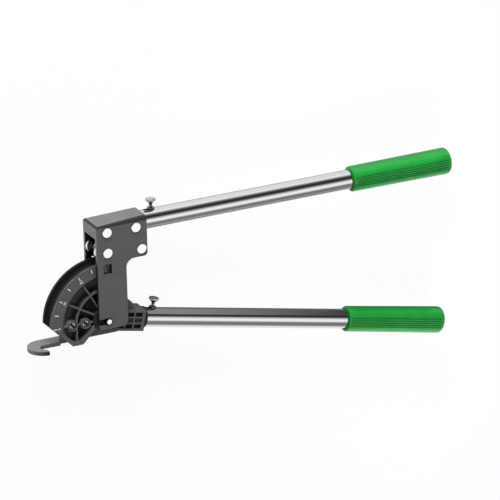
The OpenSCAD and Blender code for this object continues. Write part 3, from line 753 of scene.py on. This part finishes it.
# %% Spin and notch the thumb screws
SCREW_STEPS, NOTCHES, NOTCH_DEPTH, NOTCH_FADE, NOTCH_SKIN = 144, 18, 0.5 * MM, 0.4 * MM, 0.8 * MM
SCREW_R, FLANGE_R, NECK_R, SHANK_FOOT = 2.5 * MM, 4.9 * MM, 2.0 * MM, 0.5 * MM
screw_low, screw_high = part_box("upper_screw")
screw_x = (screw_low.x + screw_high.x) / 2
head_r = (screw_high.x - screw_low.x) / 2
head_top = screw_high.y - upper_y
head_rim = head_top - 2.5 * MM
foot = tube_r + 0.3 * MM
shank = [(SHANK_FOOT, 0), (SHANK_FOOT, SCREW_R), (foot, SCREW_R)]
flange = [(foot, FLANGE_R - 0.3 * MM), (foot + 0.3 * MM, FLANGE_R), (foot + 1.1 * MM, FLANGE_R),
          (foot + 1.5 * MM, FLANGE_R - 0.4 * MM)]
neck = [(foot + 1.7 * MM, NECK_R + 0.4 * MM), (foot + 2.4 * MM, NECK_R),
        (head_rim - 4.5 * MM, NECK_R), (head_rim - 3.0 * MM, NECK_R + 1.0 * MM)]
crown = [(head_rim - 0.3 * MM, head_r - 0.5 * MM), (head_rim, head_r), (head_rim + 0.6 * MM, head_r),
         (head_top - 0.9 * MM, head_r), (head_top - 0.3 * MM, head_r - 0.4 * MM),
         (head_top, head_r - 1.2 * MM), (head_top, 0)]
stand = Matrix.Translation((screw_x, 0, 0)) @ Matrix.Rotation(math.pi / 2, 4, "Z")
for side, place in HANDLES.items():
    bm = bmesh.new()
    spin_profile(bm, shank + flange + neck + crown, Matrix.Identity(4), SCREW_STEPS)
    screw = make_piece(f"notched_screw_{side}", bm, zinc)
    bake_tree(screw, rib_tree, {"Ribs": NOTCHES, "Depth": NOTCH_DEPTH, "First": head_rim - 0.5 * MM,
                                "Last": head_top, "Fade": NOTCH_FADE, "Inner": head_r - NOTCH_SKIN,
                                "Smooth": 0.0, "Material": zinc})
    screw.data.materials.append(dark_zinc)
    # Painted shade: below the head and on faces turned down, the screw takes the darker zinc.
    for face in screw.data.polygons:
        face.material_index = int(face.center.x < head_rim - 2 * MM or face.normal.x < -0.2)
    screw.data.transform(place @ stand)
    settle(screw, f"{side}_thumb", "screw_steel", f"{side}_screw")

# %% [markdown]
# ## Angle scale
# The former's face carries a painted scale: a mark every fifteen degrees and numbers at every second one.
# The marks are one small bar set round an arc by a tree, as thin paint about a tenth of a millimetre proud.

# %% Scale marks
MARKS, MARK_STEP, MARK_R = 7, math.radians(15), 69.5 * MM
MARK_LONG, MARK_WIDE, MARK_THICK = 5.0 * MM, 1.1 * MM, 0.2 * MM
paint_z = former_face + 0.02 * MM
mark_tree, mark_in, mark_out = new_tree("scale_marks", [
    ("Marks", "Int"), ("Step", "Float"), ("Radius", "Float"), ("Length", "Float"), ("Width", "Float"),
    ("Thickness", "Float"), ("Height", "Float"), ("Material", "Material")])
asked = mark_in.outputs
op = partial(calc, mark_tree)
index = mark_tree.nodes.new("GeometryNodeInputIndex").outputs[0]
angle = op("SUBTRACT", math.pi, op("MULTIPLY", index, asked["Step"]))
mark_spot = add_node(mark_tree, "ShaderNodeCombineXYZ", {
    0: op("MULTIPLY", op("COSINE", angle), asked["Radius"]),
    1: op("MULTIPLY", op("SINE", angle), asked["Radius"]), 2: asked["Height"]}).outputs[0]
points = add_node(mark_tree, "GeometryNodePoints", {"Count": asked["Marks"], "Position": mark_spot})
bar_size = add_node(mark_tree, "ShaderNodeCombineXYZ", {
    0: asked["Length"], 1: asked["Width"], 2: asked["Thickness"]}).outputs[0]
bar = add_node(mark_tree, "GeometryNodeMeshCube", {"Size": bar_size})
bar_turn = add_node(mark_tree, "ShaderNodeCombineXYZ", {2: angle}).outputs[0]
bars = add_node(mark_tree, "GeometryNodeInstanceOnPoints",
                {"Points": points.outputs[0], "Instance": bar.outputs[0], "Rotation": bar_turn})
close_tree(mark_tree, bars.outputs[0], mark_in, mark_out)
marks = bake_tree(empty_piece("scale_marks"), mark_tree, {
    "Marks": MARKS, "Step": MARK_STEP, "Radius": MARK_R, "Length": MARK_LONG, "Width": MARK_WIDE,
    "Thickness": MARK_THICK, "Height": paint_z, "Material": scale_paint})
settle(marks, "base", "casting")

# %% [markdown]
# ## Scale numbers
# Blender writes text as a curve with a font. Each number is turned into a mesh, and then put on the arc with
# its foot towards the pivot. All of them are joined in one mesh, because they are one coat of paint.

# %% Scale numbers
NUMBER_HIGH, NUMBER_R, NUMBER_THICK = 4.6 * MM, 66.2 * MM, 0.1 * MM
bm = bmesh.new()
for number in (0, 30, 60, 90):
    text = bpy.data.curves.new("number", "FONT")
    text.body, text.size, text.extrude = str(number), NUMBER_HIGH, NUMBER_THICK
    text.align_x, text.align_y = "CENTER", "TOP"
    holder = bpy.data.objects.new("number", text)
    bpy.context.scene.collection.objects.link(holder)
    shape = bpy.data.meshes.new_from_object(holder.evaluated_get(bpy.context.evaluated_depsgraph_get()))
    swing = Matrix.Rotation(math.pi / 2 - math.radians(number), 4, "Z")
    shape.transform(Matrix.Translation((0, 0, paint_z)) @ swing @ Matrix.Translation((0, NUMBER_R, 0)))
    bm.from_mesh(shape)
    bpy.data.objects.remove(holder)
bmesh.ops.remove_doubles(bm, verts=bm.verts, dist=1e-6)
settle(make_piece("scale_numbers", bm, scale_paint), "base", "casting")

# %% [markdown]
# ## Highlight on the rim
# A thin light line runs along the former's near edge, a painted highlight where the rounded edge catches the
# light.
# It is a slim bead swept round the arc, from the start of the scale to the end of the former.

# %% Bead along the rim
BEAD, BEAD_STEPS, BEAD_SIDES, BEAD_SINK = 0.45 * MM, 96, 8, 0.25 * MM
BEAD_FROM, BEAD_SWEEP = 1.5, 93.0
turns = [math.tau * k / BEAD_SIDES for k in range(BEAD_SIDES)]
bm = bmesh.new()
rings = []
for i in range(BEAD_STEPS + 1):
    bend = math.pi - math.radians(BEAD_FROM + BEAD_SWEEP * i / BEAD_STEPS)
    out = Vector((math.cos(bend), math.sin(bend), 0))
    centre = pivot + out * (RIM_R - BEAD) + Vector((0, 0, former_face - mid_z - BEAD_SINK))
    offsets = [BEAD * (math.cos(t) * out + Vector((0, 0, math.sin(t)))) for t in turns]
    rings.append([bm.verts.new(centre + offset) for offset in offsets])
for first, second in zip(rings, rings[1:]):
    for k in range(BEAD_SIDES):
        after = (k + 1) % BEAD_SIDES
        bm.faces.new((first[k], first[after], second[after], second[k]))
for cap in (rings[0], rings[-1]):
    bm.faces.new(cap)
settle(make_piece("rim_highlight_bead", bm, rim_highlight_paint), "base", "casting")

# %% [markdown]
# ## Camera
# The photograph was taken with a long lens, so lines stay almost parallel. The camera stands about seven
# metres away, and its three directions come from matching the pins, the rim and the handles with the picture.

# %% Camera
LENS, SENSOR, CLIP_FROM, CLIP_TO = 400.0, 36.0, 0.5, 40.0
CAMERA_PLACE = (-2.55477, 2.56646, 5.87577)
CAMERA_RIGHT = (0.90006, -0.02539, 0.43502)
CAMERA_UP = (0.17909, 0.93165, -0.31617)
CAMERA_BACK = (-0.39726, 0.36248, 0.84309)
camera = bpy.data.objects.new("camera", bpy.data.cameras.new("camera"))
bpy.context.scene.collection.objects.link(camera)
camera.data.lens, camera.data.sensor_width = LENS, SENSOR
camera.data.clip_start, camera.data.clip_end = CLIP_FROM, CLIP_TO
camera_turn = Matrix((CAMERA_RIGHT, CAMERA_UP, CAMERA_BACK)).transposed().to_4x4()
camera.matrix_world = Matrix.Translation(CAMERA_PLACE) @ camera_turn
bpy.context.scene.camera = camera
print("camera at", [round(v, 2) for v in camera.location])

# %% [markdown]
# ## What mirrors see of the floor
# Polished tubes show what lies beside them. To give them the bands of the photo, mirrors see the floor darker
# between the handles, and in a strip along the outer side of each handle.
# The four numbers of a band say where it begins, is full, is full still, and ends.

# %% Dim places of the floor
BETWEEN = (-12 * MM, -3 * MM, 60 * MM, 90 * MM)
BESIDE_UPPER = (-16 * MM, -8 * MM, 18 * MM, 34 * MM)
BESIDE_LOWER = (-44 * MM, -32 * MM, -14 * MM, -8 * MM)
HANDLE_REACH, BETWEEN_DIM, STRIP_DIM = (40 * MM, 70 * MM), 0.85, 0.5
floor_paper = bpy.data.materials.new("floor_paper")
floor_paper.use_nodes = True
tree = floor_paper.node_tree
op = partial(calc, tree)
spot = object_places(tree)
by_handles = fade(tree, spot.x, *HANDLE_REACH)
across = along_lower(tree, spot.x, spot.y)[1]
between = both(tree, band(tree, across, *BETWEEN), by_handles)
beside_upper = band(tree, op("SUBTRACT", spot.y, upper_y), *BESIDE_UPPER)
beside_lower = band(tree, across, *BESIDE_LOWER)
strips = both(tree, op("MAXIMUM", beside_upper, beside_lower), by_handles)
dim = op("MAXIMUM", op("MULTIPLY", between, BETWEEN_DIM), op("MULTIPLY", strips, STRIP_DIM))
print("floor mask nodes", len(tree.nodes))

# %% [markdown]
# ## White floor
# The tool lies on a white floor. It glows for camera and mirror rays, and a trace of the soft shadow stays.
# The Light Path node tells the kinds of ray apart.

# %% White floor
FLOOR_HALF, FLOOR_GREY, FLOOR_ROUGH = 8.0, 0.85, 0.9
GLOW_SHARE, MIRROR_GLOW, CAMERA_GLOW = 0.95, 1.3, 1.0
floor_z = cad_low.z - 0.5 * MM


def light_path_mask(tree):
    rays = tree.nodes.new("ShaderNodeLightPath").outputs
    seen = calc(tree, "MAXIMUM", rays["Is Camera Ray"], rays["Is Glossy Ray"])
    return rays["Is Camera Ray"], calc(tree, "MAXIMUM", seen, rays["Is Transmission Ray"])


paper = tree.nodes["Principled BSDF"]
paper.inputs["Base Color"].default_value = (FLOOR_GREY, FLOOR_GREY, FLOOR_GREY, 1)
paper.inputs["Roughness"].default_value = FLOOR_ROUGH
by_camera, seen = light_path_mask(tree)
mirrored = op("MULTIPLY", op("SUBTRACT", 1.0, dim), MIRROR_GLOW)
strength = add_node(tree, "ShaderNodeMix", {0: by_camera, 2: mirrored, 3: CAMERA_GLOW}).outputs[0]
glow = add_node(tree, "ShaderNodeEmission", {"Color": (1, 1, 1, 1), "Strength": strength})
share = op("MULTIPLY", seen, GLOW_SHARE)
blend = add_node(tree, "ShaderNodeMixShader", {0: share, 1: paper.outputs[0], 2: glow.outputs[0]})
tree.links.new(blend.outputs[0], tree.nodes["Material Output"].inputs["Surface"])
bm = bmesh.new()
bmesh.ops.create_grid(bm, x_segments=1, y_segments=1, size=FLOOR_HALF)
floor = make_piece("floor", bm, floor_paper)
floor.data.transform(Matrix.Translation((0, 0, floor_z)))
floor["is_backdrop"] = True
print("floor at", round(floor_z / MM, 2))

# %% [markdown]
# ## Card between the handles
# The lower handle shows a dark upper side, as if a grey card stood between the handles. So one is put there.
# Only mirror rays see it, and only from the side of the lower handle: its back is transparent.

# %% Grey card between the handles
CARD_FROM, CARD_TO, CARD_ACROSS, CARD_TOP = 60 * MM, 480 * MM, 45 * MM, 40 * MM
CARD_DARK, CARD_GAIN, CARD_REACH = 0.09, 0.31, (360 * MM, 130 * MM)
card_foot = cad_low.z - mid_z
corners = [(CARD_FROM, card_foot), (CARD_TO, card_foot), (CARD_TO, CARD_TOP), (CARD_FROM, CARD_TOP)]
card_paper = bpy.data.materials.new("card_paper")
card_paper.use_nodes = True
tree = card_paper.node_tree
near_head = fade(tree, object_places(tree).x, *CARD_REACH)
tone = calc(tree, "ADD", CARD_DARK, calc(tree, "MULTIPLY", near_head, CARD_GAIN))
grey = add_node(tree, "ShaderNodeEmission", {"Color": (1, 1, 1, 1), "Strength": tone})
clear = tree.nodes.new("ShaderNodeBsdfTransparent")
behind = tree.nodes.new("ShaderNodeNewGeometry").outputs["Backfacing"]
one_sided = add_node(tree, "ShaderNodeMixShader", {0: behind, 1: grey.outputs[0], 2: clear.outputs[0]})
tree.links.new(one_sided.outputs[0], tree.nodes["Material Output"].inputs["Surface"])
bm = bmesh.new()
bm.faces.new([bm.verts.new(HANDLES["lower"] @ Vector((x, CARD_ACROSS, z))) for x, z in corners])
mirror_card = make_piece("mirror_card", bm, card_paper)
if mirror_card.data.polygons[0].normal.y > 0:
    mirror_card.data.flip_normals()
mirror_card.visible_camera = mirror_card.visible_diffuse = mirror_card.visible_shadow = False
mirror_card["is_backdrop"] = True
print("card faces", [round(v, 2) for v in mirror_card.data.polygons[0].normal])

# %% [markdown]
# ## Panels of the room
# Bright and dark panels all round draw the bands along the polished handles. A ramp over the angle about the
# X axis holds their tones. A second ramp, darker on one side, takes over for rays that run far to the right.

# %% Bright and dark panels
PANELS = [(0.36, 0.05), (0.44, 0.42), (0.51, 0.85), (0.61, 0.85), (0.70, 0.22), (0.84, 0.14), (0.98, 0.38)]
LEFT_TONES = [(0.00, 1.00), (0.07, 0.62), (0.16, 0.12), (0.26, 0.01)] + PANELS
RIGHT_TONES = [(0.00, 0.13), (0.11, 0.10), (0.22, 0.03), (0.30, 0.01)] + PANELS
RIGHT_REACH = (0.45, 0.54)
world = bpy.data.worlds.new("room")
bpy.context.scene.world = world
world.use_nodes = True
tree = world.node_tree
tree.nodes.clear()
way = tree.nodes.new("ShaderNodeTexCoord").outputs["Generated"]
way_x, way_y, way_z = add_node(tree, "ShaderNodeSeparateXYZ", {0: way}).outputs
around = calc(tree, "DIVIDE", calc(tree, "ARCTAN2", way_z, way_y), math.pi)


def wall_ramp(tones):
    ramp = add_node(tree, "ShaderNodeValToRGB", {"Fac": around})
    steps = ramp.color_ramp.elements
    while len(steps) < len(tones):
        steps.new(0.5)
    for step, (where, tone) in zip(steps, tones):
        step.position = where
        step.color = (tone, tone, tone, 1)
    return ramp.outputs["Color"]


wires = {0: fade(tree, way_x, *RIGHT_REACH), 6: wall_ramp(LEFT_TONES), 7: wall_ramp(RIGHT_TONES)}
walls = add_node(tree, "ShaderNodeMix", wires, data_type="RGBA").outputs[2]
print("tones of the panels", len(LEFT_TONES), len(RIGHT_TONES))

# %% [markdown]
# ## Room
# Mirrors see the panels and the camera sees plain white. Everything else gets a weak, even light.

# %% Light of the room
WHITE, MIRROR_ROOM, WHITE_ROOM, SOFT_ROOM = (1, 1, 1, 1), 1.8, 1.0, 0.22


def room_light(colour, power):
    return add_node(tree, "ShaderNodeBackground", {"Color": colour, "Strength": power}).outputs[0]


def mix_light(mask, first, second):
    return add_node(tree, "ShaderNodeMixShader", {0: mask, 1: first, 2: second}).outputs[0]


by_camera, seen = light_path_mask(tree)
shown = mix_light(by_camera, room_light(walls, MIRROR_ROOM), room_light(WHITE, WHITE_ROOM))
lit = mix_light(seen, room_light(WHITE, SOFT_ROOM), shown)
tree.links.new(lit, tree.nodes.new("ShaderNodeOutputWorld").inputs["Surface"])
print("room nodes", len(tree.nodes))

# %% [markdown]
# ## Lamps
# Two large soft lamps stand above and to the left, as in a photo studio, and a small narrow one fills the
# grips. Mirrors don't see the lamps, because the panels of the room already draw the bright bands.

# %% Lamps
def soft_lamp(name, place, aim, size, power, spread=180.0):
    lamp = bpy.data.objects.new(name, bpy.data.lights.new(name, "AREA"))
    bpy.context.scene.collection.objects.link(lamp)
    lamp.data.shape, lamp.data.size, lamp.data.energy = "DISK", size, power
    lamp.data.spread = math.radians(spread)
    lamp.location = place
    lamp.rotation_mode = "QUATERNION"
    lamp.rotation_quaternion = (Vector(aim) - Vector(place)).to_track_quat("-Z", "Y")
    lamp.visible_glossy = False
    print("lamp", name, power, "W")


middle = (cad_low + cad_high) / 2
soft_lamp("key", (-0.4, 2.6, 0.7), middle, 1.4, 130.0)
soft_lamp("side", (-1.8, 0.6, 1.8), middle, 1.2, 22.0)
soft_lamp("grip_fill", (0.50, -0.90, 0.50), (0.44, 0.02, mid_z), 0.4, 0.7, spread=36.0)
bpy.context.scene.view_settings.view_transform = "Standard"

# %% [markdown]
# ## Sizes
# The dressed tool has to fill the same box as the plain one. Both boxes are printed, so that they can be
# compared.

# %% Print the sizes
low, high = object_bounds()
print("visual box mm", [round((b - a) / MM, 1) for a, b in zip(low, high)])
